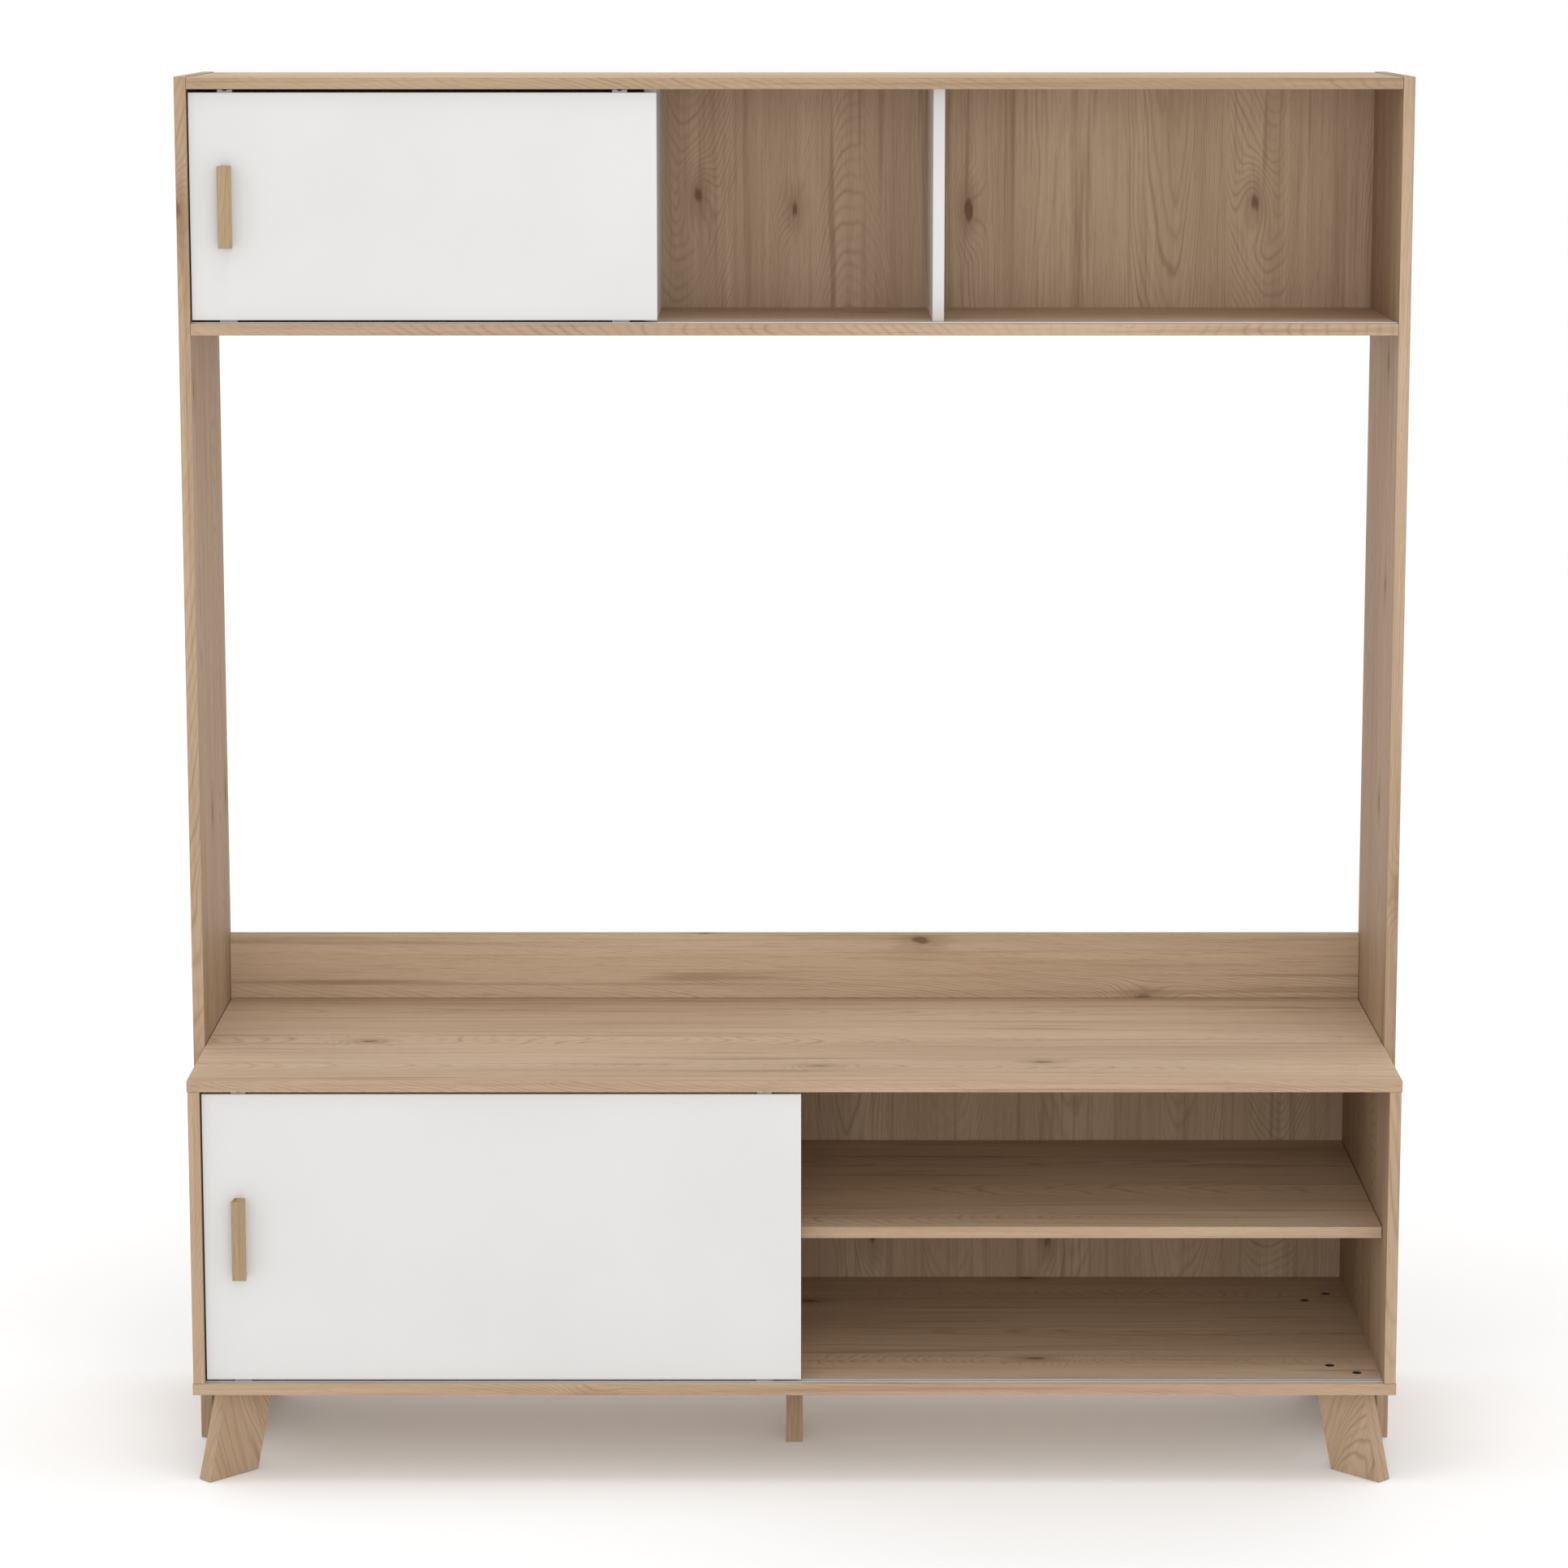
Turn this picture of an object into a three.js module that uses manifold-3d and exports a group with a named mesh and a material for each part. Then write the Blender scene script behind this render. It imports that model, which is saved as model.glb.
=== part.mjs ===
// TV stand with sliding doors: a low bench on slanted legs, which stands between two tall uprights
// that carry a shallow top cabinet. Millimetres, +Z up, the front faces -Y, +X to the right.
// Rest state: both doors stand at the left. The group's origin is the middle of the footprint.
import * as THREE from "three";
import { mergeVertices } from "three/addons/utils/BufferGeometryUtils.js";
import Module from "manifold-3d";

const wasm = await Module();
wasm.setup();

// ---- Boards and fits ----
const BOARD = 15; // furniture board
const BACK_BOARD = 3; // hardboard backs
const SEAT = 0.3; // gap where two pieces touch
const UNIT_GAP = 1; // bench end to upright
const MERGE = 1e-4;

// ---- Bench ----
const BENCH_WIDTH = 1556;
const BENCH_DEPTH = 497; // boards only, the back lies behind them
const BENCH_INNER_HEIGHT = 387;
const BENCH_SIDE_INSET = 1; // sides stand in from the ends of the top and bottom
const BENCH_DIVIDER_SETBACK = 30;
const SHELF_SETBACK = 45;
const SHELF_CLEAR_HEIGHT = 182; // bench floor to the underside of the shelf
const SHELF_END_GAP = 1;

// ---- Legs: a slanted board set across each corner, and one in the middle ----
const LEG_HEIGHT = 120;
const LEG_WIDTH = 80;
const LEG_BOARD = 22;
const LEG_LEAN = 31; // how far the foot stands out from the top
const LEG_INSET_X = 61; // bench end to the middle of a leg's top
const FRONT_LEG_INSET = 66;
const REAR_LEG_INSET = 99;
const LEG_SCREW_SPACING = 45;
const LEG_SCREW_LENGTH = 50;
const LEG_SCREW_RADIUS = 3;
const LEG_SCREW_HEAD_RADIUS = 6;
const LEG_SCREW_HEAD_HEIGHT = 3;

// ---- Uprights, top cabinet and rear rail ----
const UPRIGHT_HEIGHT = 1806;
const UPRIGHT_DEPTH = 300;
const UPRIGHT_SETBACK = 197; // front edges behind the bench's front
const UPRIGHT_RISE = 1; // uprights stand this far above the cabinet's top
const HUTCH_INNER_HEIGHT = 300;
const HUTCH_BAY_WIDTH = 358; // clear width of the middle bay
const HUTCH_DIVIDER_SETBACK = 40;
const RAIL_HEIGHT = 90;

// ---- Sliding doors ----
const DOOR_BOARD = 15;
const DOOR_SETBACK = 7; // door face behind the cabinet's front
const DOOR_END_GAP = 2;
const DOOR_GAP_UNDER = 4.2;
const DOOR_GAP_OVER = 4.4;
const BENCH_DOOR_OVERLAP = 8.4; // past the bench's middle
const HUTCH_DOOR_OVERLAP = 17; // past the near face of the divider

// ---- Door handles: a bar that widens towards the front ----
const HANDLE_HEIGHT = 105;
const HANDLE_FRONT_WIDTH = 18.4;
const HANDLE_REAR_WIDTH = 13.8;
const HANDLE_PROUD = 19;
const HANDLE_INSET = 46.5; // door's edge to the middle of the handle
const HANDLE_SCREW_SPACING = 64;
const HANDLE_SCREW_RADIUS = 2;
const HANDLE_SCREW_HEAD_RADIUS = 3.8;
const HANDLE_SCREW_HEAD_HEIGHT = 2.4;
const HANDLE_SCREW_GRIP = 12; // length inside the handle

// ---- Tracks: a channel sunk in the board; the lower one has flanges that lie on the board ----
const TRACK_WIDTH = 15.5;
const TRACK_WALL = 1;
const TRACK_SLOT = 4;
const TRACK_DEPTH = 5; // slot depth below the board's surface

// ---- Door fittings ----
const FITTING_INSET = 47; // door's end to the middle of a fitting
const FITTING_BLOCK_DEPTH = 9;
const FITTING_BLOCK_HEIGHT = 26;
const FITTING_FLANGE_DEPTH = 13.4;
const HOUSING_WALL = 1.9; // beside the wheel
const HOUSING_FLANGE = 2.2;
const GUIDE_WIDTH = 19;
const GUIDE_FLANGE = 3.4;
const WHEEL_RADIUS = 9;
const WHEEL_WIDTH = 3.2;
const WHEEL_BORE_RADIUS = 1.75;
const WHEEL_POCKET_WIDTH = 4.2;
const AXLE_RADIUS = 1.6;
const PIN_WIDTH = 8;
const PIN_THICKNESS = 3;
const PIN_REACH = 3.4; // into the top track, above the board's surface
const PIN_LENGTH = 20;
const PIN_TRAVEL = 5;
const PIN_CLEARANCE = 0.4;
const NOTCH_RADIUS = 4.5; // rounded finger notch in the guide's flange
const NOTCH_DEPTH = 1.9;

// ---- Shelf pins ----
const SHELF_PIN_RADIUS = 2.5;
const SHELF_PIN_LENGTH = 16;
const SHELF_PIN_FRONT = 37; // shelf's front edge to the first pin
const SHELF_PIN_REAR = 40; // shelf's rear edge to the last pin
const HOLE_CLEARANCE = 0.3;
const ROUND_SIDES = 20;
const WHEEL_SIDES = 32;

// ---- Places worked out from the sizes ----
const legTop = LEG_HEIGHT;
const benchFloor = legTop + SEAT + BOARD;
const benchCeiling = benchFloor + BENCH_INNER_HEIGHT;
const benchTop = benchCeiling + BOARD;
const benchInner = BENCH_WIDTH / 2 - BENCH_SIDE_INSET - BOARD;
const uprightInner = BENCH_WIDTH / 2 + UNIT_GAP;
const uprightRear = UPRIGHT_SETBACK + UPRIGHT_DEPTH;
const hutchTop = UPRIGHT_HEIGHT - UPRIGHT_RISE;
const hutchCeiling = hutchTop - BOARD;
const hutchFloor = hutchCeiling - HUTCH_INNER_HEIGHT;
const hutchUnderside = hutchFloor - BOARD;
const shelfUnderside = benchFloor + SHELF_CLEAR_HEIGHT;
const housingWidth = 2 * (WHEEL_RADIUS + SEAT + HOUSING_WALL);
const handleFront = DOOR_SETBACK - HANDLE_PROUD;
const rearmost = Math.max(BENCH_DEPTH, uprightRear) + SEAT + BACK_BOARD;
const frontmost = Math.min(0, handleFront);

// ---- Finishes ----
const finish = (color, roughness, metalness = 0) =>
  new THREE.MeshStandardMaterial({ color, roughness, metalness });
const woodDecor = finish(0xb89c7c, 0.55);
const whiteDecor = finish(0xe6e4e1, 0.5);
const aluminium = finish(0x9c9c9c, 0.35, 1);
const greyPlastic = finish(0x8f8f97, 0.45);
const blackPlastic = finish(0x1c1c1e, 0.5);
const steel = finish(0xa8a8a6, 0.35, 1);

// ---- Shapes ----

// The block between two opposite corners.
function block(low, high) {
  const size = high.map((value, i) => value - low[i]);
  const middle = high.map((value, i) => (value + low[i]) / 2);
  return new THREE.BoxGeometry(...size).translate(...middle);
}

// A round rod between two heights on an upright axis.
function uprightRod(radius, x, y, bottom, top) {
  const rod = new THREE.CylinderGeometry(radius, radius, top - bottom, ROUND_SIDES);
  return rod.rotateX(Math.PI / 2).translate(x, y, (bottom + top) / 2);
}

// A round rod along Y, from the front to the rear.
function crossRod(radius, x, z, front, rear) {
  const rod = new THREE.CylinderGeometry(radius, radius, rear - front, ROUND_SIDES);
  return rod.translate(x, (front + rear) / 2, z);
}

// A round rod along X.
function sideRod(radius, y, z, left, right) {
  const rod = new THREE.CylinderGeometry(radius, radius, right - left, ROUND_SIDES);
  return rod.rotateZ(Math.PI / 2).translate((left + right) / 2, y, z);
}

// ---- Joins and cuts ----

function toSolid(geometry) {
  const bare = geometry.clone();
  bare.deleteAttribute("normal");
  bare.deleteAttribute("uv");
  const merged = mergeVertices(bare, MERGE);
  return new wasm.Manifold(
    new wasm.Mesh({
      numProp: 3,
      vertProperties: merged.getAttribute("position").array,
      triVerts: new Uint32Array(merged.index.array),
    }),
  );
}

function toGeometry(made) {
  const { vertProperties, triVerts } = made.getMesh();
  const geometry = new THREE.BufferGeometry();
  geometry.setAttribute("position", new THREE.BufferAttribute(vertProperties, 3));
  geometry.setIndex(new THREE.BufferAttribute(triVerts, 1));
  geometry.computeVertexNormals();
  return geometry;
}

function join(...geometries) {
  return toGeometry(geometries.map(toSolid).reduce((all, next) => all.add(next)));
}

function cut(body, ...tools) {
  return toGeometry(tools.map(toSolid).reduce((left, tool) => left.subtract(tool), toSolid(body)));
}

// ---- The assembly ----

const cabinet = new THREE.Group();
cabinet.position.y = -(frontmost + rearmost) / 2;

function place(name, geometry, material) {
  const mesh = new THREE.Mesh(geometry, material);
  mesh.name = name;
  cabinet.add(mesh);
  return mesh;
}

// Each leg's top middle, and the direction in which its foot leans out.
const DIAGONAL = Math.SQRT1_2;
const legX = BENCH_WIDTH / 2 - LEG_INSET_X;
const rearLegY = BENCH_DEPTH - REAR_LEG_INSET;
const legs = [
  { name: "leg_front_left", at: [-legX, FRONT_LEG_INSET], lean: [-DIAGONAL, -DIAGONAL] },
  { name: "leg_front_right", at: [legX, FRONT_LEG_INSET], lean: [DIAGONAL, -DIAGONAL] },
  { name: "leg_rear_left", at: [-legX, rearLegY], lean: [-DIAGONAL, DIAGONAL] },
  { name: "leg_rear_right", at: [legX, rearLegY], lean: [DIAGONAL, DIAGONAL] },
];
const middleLeg = { name: "leg_middle", at: [0, BENCH_DEPTH / 2], lean: [0, -1] };

// The two screws of a leg stand along its width.
const screwPlaces = (leg) =>
  [-0.5, 0.5].map((side) => leg.at.map((value, i) => value - side * LEG_SCREW_SPACING * leg.lean[i]));

const screwHeadTop = benchFloor;
const screwHeadBottom = screwHeadTop - LEG_SCREW_HEAD_HEIGHT;

function screwHoles(leg) {
  return screwPlaces(leg).flatMap(([x, y]) => [
    uprightRod(LEG_SCREW_RADIUS + HOLE_CLEARANCE, x, y, legTop - BOARD, benchFloor + BOARD),
    uprightRod(
      LEG_SCREW_HEAD_RADIUS + HOLE_CLEARANCE,
      x,
      y,
      screwHeadBottom - SEAT,
      benchFloor + BOARD,
    ),
  ]);
}

// A slanted board, drawn on its broad side and stood across the corner.
function legShape(leg) {
  const half = LEG_WIDTH / 2;
  const side = new THREE.Shape();
  side.moveTo(LEG_LEAN - half, 0);
  side.lineTo(LEG_LEAN + half, 0);
  side.lineTo(half, legTop);
  side.lineTo(-half, legTop);
  const board = new THREE.ExtrudeGeometry(side, { depth: LEG_BOARD, bevelEnabled: false });
  board.translate(0, 0, -LEG_BOARD / 2);
  board.rotateX(Math.PI / 2);
  board.rotateZ(Math.atan2(leg.lean[1], leg.lean[0]));
  return board.translate(...leg.at, 0);
}

function addLegs() {
  place(middleLeg.name, legShape(middleLeg), woodDecor);
  for (const leg of legs) {
    const screwEnd = benchFloor - LEG_SCREW_LENGTH;
    const bores = screwPlaces(leg).map(([x, y]) =>
      uprightRod(LEG_SCREW_RADIUS + HOLE_CLEARANCE, x, y, screwEnd - SEAT, legTop + BOARD),
    );
    place(leg.name, cut(legShape(leg), ...bores), woodDecor);
    screwPlaces(leg).forEach(([x, y], i) => {
      const shank = uprightRod(LEG_SCREW_RADIUS, x, y, screwEnd, screwHeadTop);
      const head = uprightRod(LEG_SCREW_HEAD_RADIUS, x, y, screwHeadBottom, screwHeadTop);
      place(`${leg.name}_screw_${i + 1}`, join(shank, head), steel);
    });
  }
}

// The middle of a door, and of the track's slot, from the cabinet's front.
const slotPlace = DOOR_SETBACK + DOOR_BOARD / 2;

// The lower track's section is a hat: a channel that reaches into the board, and two flanges.
function lowerTrackSection() {
  const half = TRACK_WIDTH / 2;
  const slot = TRACK_SLOT / 2;
  const outer = slot + TRACK_WALL;
  const section = new THREE.Shape();
  section.moveTo(-half, 0);
  section.lineTo(-outer, 0);
  section.lineTo(-outer, -TRACK_DEPTH - TRACK_WALL);
  section.lineTo(outer, -TRACK_DEPTH - TRACK_WALL);
  section.lineTo(outer, 0);
  section.lineTo(half, 0);
  section.lineTo(half, TRACK_WALL);
  section.lineTo(slot, TRACK_WALL);
  section.lineTo(slot, -TRACK_DEPTH);
  section.lineTo(-slot, -TRACK_DEPTH);
  section.lineTo(-slot, TRACK_WALL);
  section.lineTo(-half, TRACK_WALL);
  return section;
}

// The upper track is a plain channel, open downwards and flush with the board.
function upperTrackSection() {
  const slot = TRACK_SLOT / 2;
  const outer = slot + TRACK_WALL;
  const section = new THREE.Shape();
  section.moveTo(-outer, 0);
  section.lineTo(-slot, 0);
  section.lineTo(-slot, TRACK_DEPTH);
  section.lineTo(slot, TRACK_DEPTH);
  section.lineTo(slot, 0);
  section.lineTo(outer, 0);
  section.lineTo(outer, TRACK_DEPTH + TRACK_WALL);
  section.lineTo(-outer, TRACK_DEPTH + TRACK_WALL);
  return section;
}

function trackShape(section, length) {
  const track = new THREE.ExtrudeGeometry(section, { depth: length, bevelEnabled: false });
  track.translate(0, 0, -length / 2);
  return track.rotateX(Math.PI / 2).rotateZ(Math.PI / 2);
}

// The groove that a track's channel lies in.
function trackGroove(halfLength, y, surface, up) {
  const half = TRACK_SLOT / 2 + TRACK_WALL + SEAT;
  const deep = TRACK_DEPTH + TRACK_WALL + SEAT;
  const [low, high] = up ? [surface - deep, surface + BOARD] : [surface - BOARD, surface + deep];
  return block([-halfLength, y - half, low], [halfLength, y + half, high]);
}

function addTracks(prefix, halfLength, front, floor, ceiling) {
  const length = 2 * (halfLength - SEAT);
  const lower = trackShape(lowerTrackSection(), length);
  const upper = trackShape(upperTrackSection(), length);
  place(`${prefix}_track_bottom`, lower, aluminium).position.set(0, front + slotPlace, floor + SEAT);
  place(`${prefix}_track_top`, upper, aluminium).position.set(0, front + slotPlace, ceiling);
}

function addBench() {
  const half = BENCH_WIDTH / 2;
  const groove = (surface, up) => trackGroove(benchInner, slotPlace, surface, up);
  const floorBoard = block([-half, 0, legTop + SEAT], [half, BENCH_DEPTH, benchFloor]);
  place(
    "bench_bottom",
    cut(floorBoard, groove(benchFloor, true), ...legs.flatMap(screwHoles)),
    woodDecor,
  );
  const topBoard = block([-half, 0, benchCeiling], [half, BENCH_DEPTH, benchTop]);
  place("bench_top", cut(topBoard, groove(benchCeiling, false)), woodDecor);

  const low = benchFloor + SEAT;
  const high = benchCeiling - SEAT;
  const pinDepth = SHELF_PIN_LENGTH / 2;
  const rightSide = block([benchInner, 0, low], [benchInner + BOARD, BENCH_DEPTH, high]);
  const leftSide = block([-benchInner - BOARD, 0, low], [-benchInner, BENCH_DEPTH, high]);
  const divider = block([-BOARD / 2, BENCH_DIVIDER_SETBACK, low], [BOARD / 2, BENCH_DEPTH, high]);

  // The shelf rests on four pins, two in the divider and two in the right side.
  const shelfRear = BENCH_DEPTH - SEAT;
  const pinZ = shelfUnderside - SHELF_PIN_RADIUS - SEAT;
  const pins = [];
  for (const [row, y] of [
    ["front", SHELF_SETBACK + SHELF_PIN_FRONT],
    ["rear", shelfRear - SHELF_PIN_REAR],
  ])
    for (const [side, face] of [
      ["left", BOARD / 2],
      ["right", benchInner],
    ])
      pins.push({ name: `shelf_pin_${row}_${side}`, y, face });
  const pinHole = ({ y, face }) =>
    sideRod(
      SHELF_PIN_RADIUS + HOLE_CLEARANCE,
      y,
      pinZ,
      face - pinDepth - HOLE_CLEARANCE,
      face + pinDepth + HOLE_CLEARANCE,
    );
  const holesIn = (face) => pins.filter((pin) => pin.face === face).map(pinHole);
  place("bench_side_left", leftSide, woodDecor);
  place("bench_side_right", cut(rightSide, ...holesIn(benchInner)), woodDecor);
  place("bench_divider", cut(divider, ...holesIn(BOARD / 2)), woodDecor);
  for (const { name, y, face } of pins)
    place(name, sideRod(SHELF_PIN_RADIUS, y, pinZ, face - pinDepth, face + pinDepth), steel);

  const shelf = block(
    [BOARD / 2 + SHELF_END_GAP, SHELF_SETBACK, shelfUnderside],
    [benchInner - SHELF_END_GAP, shelfRear, shelfUnderside + BOARD],
  );
  place("bench_shelf", shelf, woodDecor);
  const back = block(
    [-half + BENCH_SIDE_INSET, BENCH_DEPTH + SEAT, legTop + SEAT],
    [half - BENCH_SIDE_INSET, BENCH_DEPTH + SEAT + BACK_BOARD, benchTop],
  );
  place("bench_back", back, woodDecor);
  addTracks("bench", benchInner, 0, benchFloor, benchCeiling);
}

function addUprights() {
  const front = UPRIGHT_SETBACK;
  const outer = uprightInner + BOARD;
  const left = block([-outer, front, 0], [-uprightInner, uprightRear, UPRIGHT_HEIGHT]);
  place("upright_left", left, woodDecor);
  const right = block([uprightInner, front, 0], [outer, uprightRear, UPRIGHT_HEIGHT]);
  place("upright_right", right, woodDecor);
  const end = uprightInner - SEAT;
  const rail = block(
    [-end, uprightRear - BOARD, benchTop + SEAT],
    [end, uprightRear, benchTop + SEAT + RAIL_HEIGHT],
  );
  place("rear_rail", rail, woodDecor);
}

function addHutch() {
  const end = uprightInner - SEAT;
  const front = UPRIGHT_SETBACK;
  const groove = (surface, up) => trackGroove(end, front + slotPlace, surface, up);
  const floorBoard = block([-end, front, hutchUnderside], [end, uprightRear, hutchFloor]);
  place("hutch_bottom", cut(floorBoard, groove(hutchFloor, true)), woodDecor);
  const topBoard = block([-end, front, hutchCeiling], [end, uprightRear, hutchTop]);
  place("hutch_top", cut(topBoard, groove(hutchCeiling, false)), woodDecor);
  const bay = HUTCH_BAY_WIDTH / 2;
  for (const [side, low] of [
    ["left", -bay - BOARD],
    ["right", bay],
  ]) {
    const divider = block(
      [low, front + HUTCH_DIVIDER_SETBACK, hutchFloor + SEAT],
      [low + BOARD, uprightRear, hutchCeiling - SEAT],
    );
    place(`hutch_divider_${side}`, divider, whiteDecor);
  }
  const outer = uprightInner + BOARD;
  const back = block(
    [-outer + BENCH_SIDE_INSET, uprightRear + SEAT, hutchUnderside],
    [outer - BENCH_SIDE_INSET, uprightRear + SEAT + BACK_BOARD, hutchTop],
  );
  place("hutch_back", back, woodDecor);
  addTracks("hutch", end, front, hutchFloor, hutchCeiling);
}

// ---- A sliding door with its handle, rollers and guides ----

// A fitting's block fills a mortise in the door's edge, and its flange lies against the edge.
function mortise(width, x, y, low, high) {
  const half = width / 2 + SEAT;
  const deep = FITTING_BLOCK_DEPTH / 2 + SEAT;
  return block([x - half, y - deep, low], [x + half, y + deep, high]);
}

function rollerHousing(x, y, edge, axle) {
  const half = housingWidth / 2;
  const deep = FITTING_BLOCK_DEPTH / 2;
  const wide = FITTING_FLANGE_DEPTH / 2;
  const body = block([x - half, y - deep, edge - SEAT - HOUSING_FLANGE / 2], [
    x + half,
    y + deep,
    edge + FITTING_BLOCK_HEIGHT,
  ]);
  const flange = block([x - half, y - wide, edge - SEAT - HOUSING_FLANGE], [
    x + half,
    y + wide,
    edge - SEAT,
  ]);
  const pocketHalf = WHEEL_RADIUS + SEAT;
  const pocket = block([x - pocketHalf, y - WHEEL_POCKET_WIDTH / 2, edge - BOARD], [
    x + pocketHalf,
    y + WHEEL_POCKET_WIDTH / 2,
    axle + WHEEL_RADIUS + SEAT,
  ]);
  const pivot = crossRod(AXLE_RADIUS, x, axle, y - deep / 2 - SEAT, y + deep / 2 + SEAT);
  return join(cut(join(body, flange), pocket), pivot);
}

function guideHousing(x, y, edge) {
  const half = GUIDE_WIDTH / 2;
  const deep = FITTING_BLOCK_DEPTH / 2;
  const wide = FITTING_FLANGE_DEPTH / 2;
  const flangeTop = edge + SEAT + GUIDE_FLANGE;
  const body = block([x - half, y - deep, edge - FITTING_BLOCK_HEIGHT], [
    x + half,
    y + deep,
    flangeTop,
  ]);
  const flange = block([x - half, y - wide, edge + SEAT], [x + half, y + wide, flangeTop]);
  const slotHalf = PIN_WIDTH / 2 + PIN_CLEARANCE;
  const slotDeep = PIN_THICKNESS / 2 + PIN_CLEARANCE;
  const pinBottom = flangeTop - PIN_LENGTH;
  const slot = block([x - slotHalf, y - slotDeep, pinBottom - PIN_TRAVEL - PIN_CLEARANCE], [
    x + slotHalf,
    y + slotDeep,
    flangeTop + BOARD,
  ]);
  const notchZ = flangeTop + NOTCH_RADIUS - NOTCH_DEPTH;
  const notch = crossRod(NOTCH_RADIUS, x, notchZ, y - 2 * wide, y - PIN_THICKNESS / 2);
  return cut(join(body, flange), slot, notch);
}

function wheelShape() {
  const half = WHEEL_WIDTH / 2;
  const rim = new THREE.CylinderGeometry(WHEEL_RADIUS, WHEEL_RADIUS, WHEEL_WIDTH, WHEEL_SIDES);
  const bore = new THREE.CylinderGeometry(
    WHEEL_BORE_RADIUS,
    WHEEL_BORE_RADIUS,
    4 * half,
    ROUND_SIDES,
  );
  return cut(rim, bore);
}

function addDoor(prefix, { left, right, front, floor, ceiling }) {
  const face = front + DOOR_SETBACK;
  const rear = face + DOOR_BOARD;
  const bottom = floor + DOOR_GAP_UNDER;
  const top = ceiling - DOOR_GAP_OVER;
  const middle = face + DOOR_BOARD / 2;
  const axle = floor + SEAT - TRACK_DEPTH + SEAT + WHEEL_RADIUS;
  const fittings = [
    ["left", left + FITTING_INSET],
    ["right", right - FITTING_INSET],
  ];
  const handleX = left + HANDLE_INSET;
  const handleZ = (bottom + top) / 2;
  const screws = [-0.5, 0.5].map((side) => handleZ + side * HANDLE_SCREW_SPACING);

  const mortises = fittings.flatMap(([, x]) => [
    mortise(housingWidth, x, middle, bottom - BOARD, bottom + FITTING_BLOCK_HEIGHT + SEAT),
    mortise(GUIDE_WIDTH, x, middle, top - FITTING_BLOCK_HEIGHT - SEAT, top + BOARD),
  ]);
  const headFront = rear - HANDLE_SCREW_HEAD_HEIGHT;
  const screwHoleCuts = screws.flatMap((z) => [
    crossRod(HANDLE_SCREW_RADIUS + HOLE_CLEARANCE, handleX, z, face - BOARD, rear + BOARD),
    crossRod(
      HANDLE_SCREW_HEAD_RADIUS + HOLE_CLEARANCE,
      handleX,
      z,
      headFront - SEAT,
      rear + BOARD,
    ),
  ]);
  const panel = block([left, face, bottom], [right, rear, top]);
  place(`${prefix}_door_panel`, cut(panel, ...mortises, ...screwHoleCuts), whiteDecor);

  // The handle's plan is a trapezium, wide side to the front.
  const plan = new THREE.Shape();
  plan.moveTo(-HANDLE_FRONT_WIDTH / 2, -HANDLE_PROUD);
  plan.lineTo(HANDLE_FRONT_WIDTH / 2, -HANDLE_PROUD);
  plan.lineTo(HANDLE_REAR_WIDTH / 2, -SEAT);
  plan.lineTo(-HANDLE_REAR_WIDTH / 2, -SEAT);
  const bar = new THREE.ExtrudeGeometry(plan, { depth: HANDLE_HEIGHT, bevelEnabled: false });
  bar.translate(handleX, face, handleZ - HANDLE_HEIGHT / 2);
  const gripEnd = face - SEAT - HANDLE_SCREW_GRIP;
  const gripHoles = screws.map((z) =>
    crossRod(HANDLE_SCREW_RADIUS + HOLE_CLEARANCE, handleX, z, gripEnd - SEAT, face + BOARD),
  );
  place(`${prefix}_door_handle`, cut(bar, ...gripHoles), woodDecor);
  screws.forEach((z, i) => {
    const shank = crossRod(HANDLE_SCREW_RADIUS, handleX, z, gripEnd, rear);
    const head = crossRod(HANDLE_SCREW_HEAD_RADIUS, handleX, z, headFront, rear);
    place(`${prefix}_handle_screw_${i + 1}`, join(shank, head), steel);
  });

  for (const [side, x] of fittings) {
    place(
      `${prefix}_roller_housing_${side}`,
      rollerHousing(x, middle, bottom, axle),
      greyPlastic,
    );
    const wheel = place(`${prefix}_roller_wheel_${side}`, wheelShape(), blackPlastic);
    wheel.position.set(x, middle, axle);
    place(`${prefix}_guide_housing_${side}`, guideHousing(x, middle, top), greyPlastic);
    const pinTop = ceiling + PIN_REACH;
    const pinBottom = top + SEAT + GUIDE_FLANGE - PIN_LENGTH;
    const pin = block([x - PIN_WIDTH / 2, middle - PIN_THICKNESS / 2, pinBottom], [
      x + PIN_WIDTH / 2,
      middle + PIN_THICKNESS / 2,
      pinTop,
    ]);
    place(`${prefix}_guide_pin_${side}`, pin, blackPlastic);
  }
}

addBench();
addLegs();
addUprights();
addHutch();
addDoor("bench", {
  left: -benchInner + DOOR_END_GAP,
  right: BENCH_DOOR_OVERLAP,
  front: 0,
  floor: benchFloor,
  ceiling: benchCeiling,
});
addDoor("hutch", {
  left: -uprightInner + DOOR_END_GAP,
  right: -HUTCH_BAY_WIDTH / 2 - BOARD + HUTCH_DOOR_OVERLAP,
  front: UPRIGHT_SETBACK,
  floor: hutchFloor,
  ceiling: hutchCeiling,
});

export default cabinet;
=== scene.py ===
"""Looks for a TV stand with sliding doors: a bench on slanted legs between two tall uprights, and a
shallow cabinet across their top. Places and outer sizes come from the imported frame, in metres."""
import math

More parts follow.
